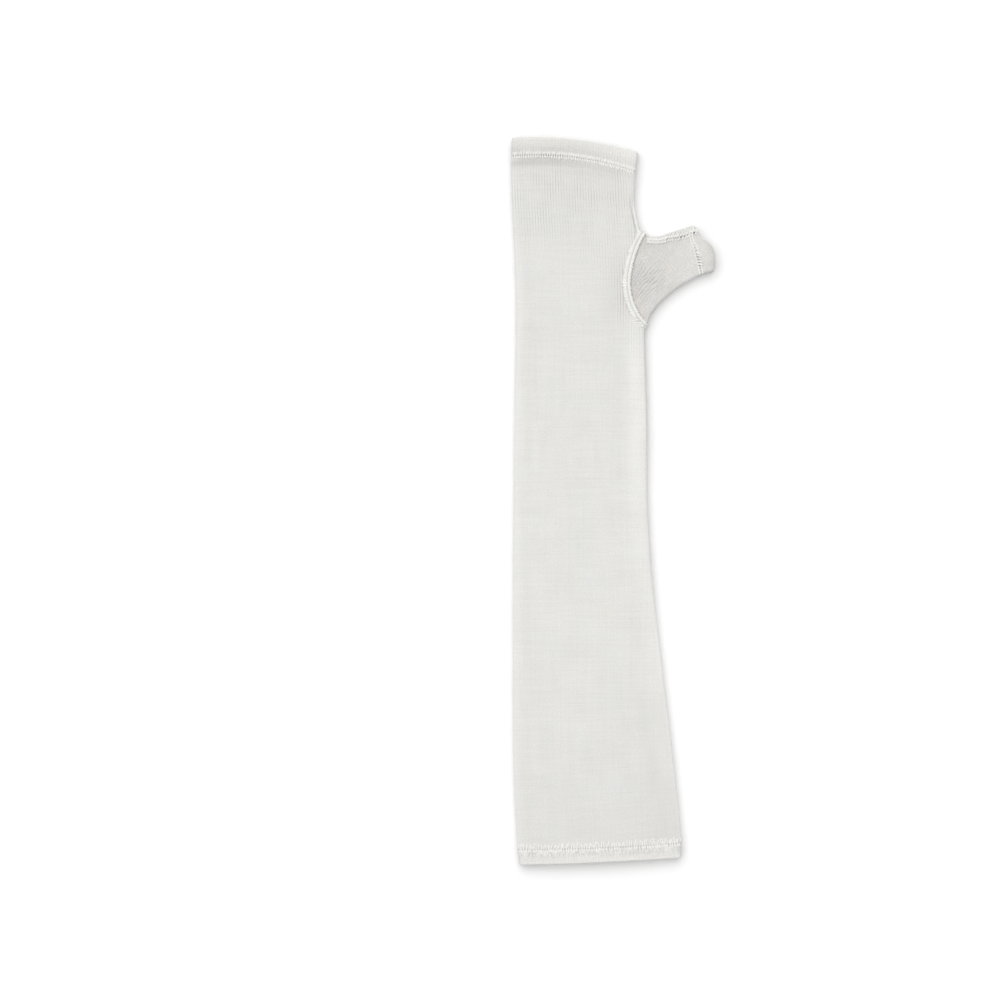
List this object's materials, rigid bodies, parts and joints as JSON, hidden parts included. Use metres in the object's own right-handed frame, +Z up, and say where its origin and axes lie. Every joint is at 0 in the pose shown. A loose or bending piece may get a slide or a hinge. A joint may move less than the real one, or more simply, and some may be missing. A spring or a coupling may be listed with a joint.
{
  "type": "long knitted arm warmer with a sewn-in thumb",
  "caption": "Long fingerless arm warmer of fine pale knit, lying flat, with stitched hems at both mouths and a separate thumb set in with raised seams.",
  "frame": {"origin": "bottom centre of the bounding box, on the surface that the arm warmer lies on", "axes": "+Y from the elbow mouth to the finger mouth, +X to the side that the thumb stands out on, +Z up out of the front layer"},
  "size_m": [0.1246, 0.44, 0.0096],
  "materials": {
    "sleeve_knit": "matte fine jersey knit, off-white",
    "hem_knit": "matte fine jersey knit, turned in and cover-stitched, off-white",
    "thumb_knit": "matte fine jersey knit with its ribs slanting, off-white",
    "seam_thread": "matte overlocked thread over knit, off-white"
  },
  "bodies": {
    "root": {"sleeve": "sleeve_knit", "elbow_hem": "hem_knit", "finger_hem": "hem_knit", "thumb_tube": "thumb_knit", "thumb_hem": "hem_knit", "thumb_set_in_seam": "seam_thread", "thumb_top_seam": "seam_thread"}
  },
  "joints": []
}
